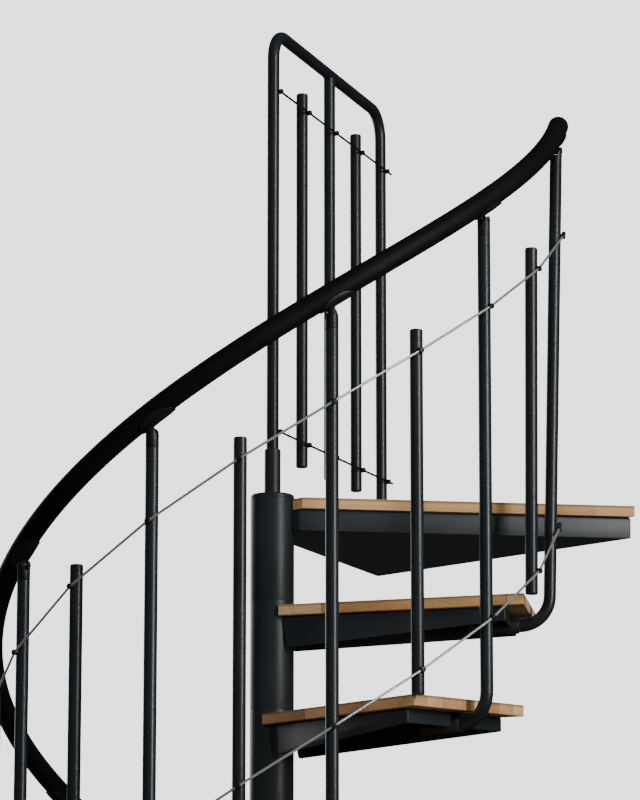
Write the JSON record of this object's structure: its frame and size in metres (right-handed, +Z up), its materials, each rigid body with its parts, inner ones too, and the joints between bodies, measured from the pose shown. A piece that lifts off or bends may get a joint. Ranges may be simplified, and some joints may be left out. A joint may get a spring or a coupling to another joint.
{
  "type": "spiral staircase",
  "caption": "Steel spiral stair with wooden treads on sheet carriers, a helical handrail on tube balusters with cables, and a corner landing with a tube guard.",
  "frame": {"origin": "on the column axis, at the underside of the base flange", "axes": "+Z up along the column; the stair climbs counter-clockwise seen from above; the top tread points 9.1 degrees clockwise of +X and the landing lies between +X and the guard at 68 degrees"},
  "size_m": [1.3342, 1.2465, 3.6505],
  "materials": {
    "coated_steel": "anthracite powder coat, fine texture, satin",
    "coated_tube": "anthracite powder coat, satin, smooth",
    "black_fitting": "matte black moulded fitting",
    "handrail_cover": "matte black plastic handrail, very fine grain",
    "beech_board": "finger-jointed beech staves, clear satin lacquer",
    "steel_cable": "stranded stainless steel cable",
    "black_cable": "black coated cable"
  },
  "bodies": {
    "root": {"base_flange": "coated_steel", "carrier_01": "coated_steel", "carrier_02": "coated_steel", "carrier_03": "coated_steel", "carrier_04": "coated_steel", "carrier_05": "coated_steel", "carrier_06": "coated_steel", "carrier_07": "coated_steel", "carrier_08": "coated_steel", "carrier_09": "coated_steel", "carrier_10": "coated_steel", "carrier_11": "coated_steel", "tread_board_01": "beech_board", "tread_board_02": "beech_board", "tread_board_03": "beech_board", "tread_board_04": "beech_board", "tread_board_05": "beech_board", "tread_board_06": "beech_board", "tread_board_07": "beech_board", "tread_board_08": "beech_board", "tread_board_09": "beech_board", "tread_board_10": "beech_board", "tread_board_11": "beech_board", "baluster_01": "coated_tube", "baluster_02": "coated_tube", "baluster_03": "coated_tube", "baluster_04": "coated_tube", "baluster_05": "coated_tube", "baluster_06": "coated_tube", "baluster_07": "coated_tube", "baluster_08": "coated_tube", "baluster_09": "coated_tube", "baluster_10": "coated_tube", "baluster_11": "coated_tube", "landing_carrier": "coated_steel", "landing_board": "beech_board", "column_cap": "coated_steel", "baluster_heads": "black_fitting", "handrail_saddles": "black_fitting", "handrail": "handrail_cover", "handrail_end_caps": "handrail_cover", "infill_rods": "coated_tube", "upper_cable": "steel_cable", "lower_cable": "steel_cable", "cable_clamps": "black_fitting", "cable_stops": "black_fitting", "guard_sleeve": "coated_tube", "guard_frame": "coated_tube", "guard_rods": "coated_tube", "guard_cables": "black_cable", "guard_clamps": "black_fitting"}
  },
  "joints": []
}
